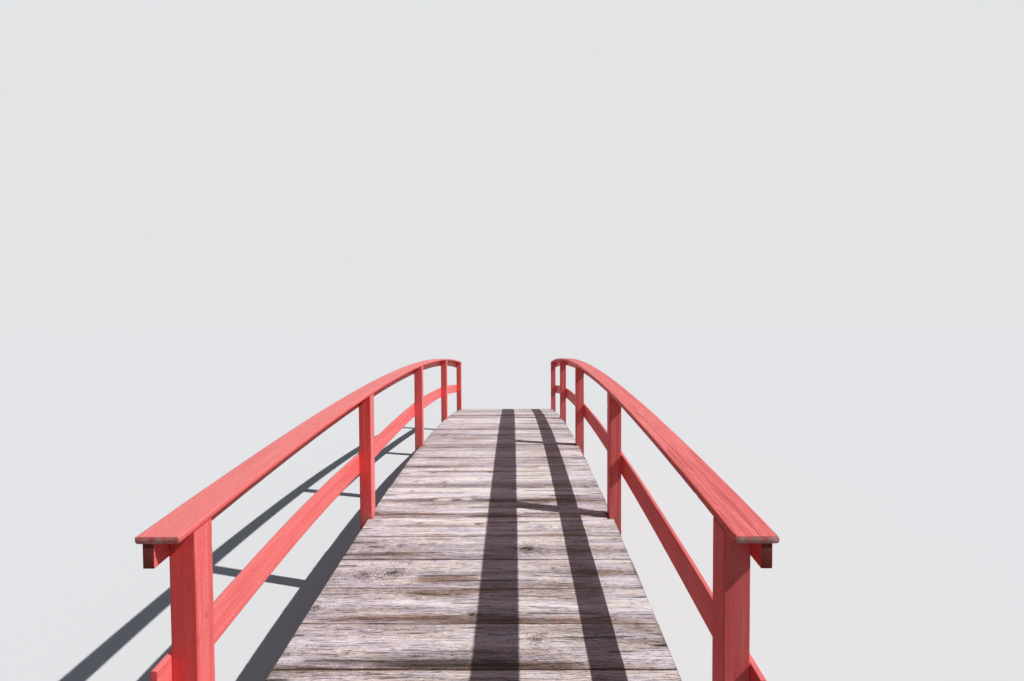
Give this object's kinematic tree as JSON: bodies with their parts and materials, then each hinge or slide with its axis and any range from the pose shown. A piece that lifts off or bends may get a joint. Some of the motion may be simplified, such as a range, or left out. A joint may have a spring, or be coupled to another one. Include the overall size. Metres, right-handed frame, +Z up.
{
  "type": "arched timber footbridge",
  "caption": "Arched timber footbridge: cross-laid planks notched round posts, arched stringers, flat cap rails and side rails painted coral red.",
  "frame": {"origin": "centre of the bounding box's base: on the ground under the middle of the crown", "axes": "+Y along the bridge, away from the picture's camera; +Z up; +X across to the right"},
  "size_m": [2.1, 8.199, 1.6389],
  "materials": {
    "red_paint": "worn coral red exterior paint on timber",
    "deck_timber": "bare weathered grey-brown planks",
    "frame_timber": "bare weathered brown structural timber",
    "sill_timber": "dark damp sill timber"
  },
  "bodies": {
    "root": {"stringer_left": "frame_timber", "stringer_middle": "frame_timber", "stringer_right": "frame_timber", "header_near": "frame_timber", "header_far": "frame_timber", "sill_near": "sill_timber", "sill_far": "sill_timber", "blocking_1": "frame_timber", "blocking_2": "frame_timber", "blocking_3": "frame_timber", "blocking_4": "frame_timber", "blocking_5": "frame_timber", "post_left_1": "red_paint", "post_left_2": "red_paint", "post_left_3": "red_paint", "post_left_4": "red_paint", "post_left_5": "red_paint", "post_right_1": "red_paint", "post_right_2": "red_paint", "post_right_3": "red_paint", "post_right_4": "red_paint", "post_right_5": "red_paint", "deck_bay_1": "deck_timber", "deck_bay_2": "deck_timber", "deck_bay_3": "deck_timber", "deck_bay_4": "deck_timber", "cap_left_near": "red_paint", "cap_left_far": "red_paint", "cap_right_near": "red_paint", "cap_right_far": "red_paint", "upper_rail_left_near": "red_paint", "upper_rail_left_far": "red_paint", "upper_rail_right_near": "red_paint", "upper_rail_right_far": "red_paint", "middle_rail_left_near": "red_paint", "middle_rail_left_far": "red_paint", "middle_rail_right_near": "red_paint", "middle_rail_right_far": "red_paint"}
  },
  "joints": []
}
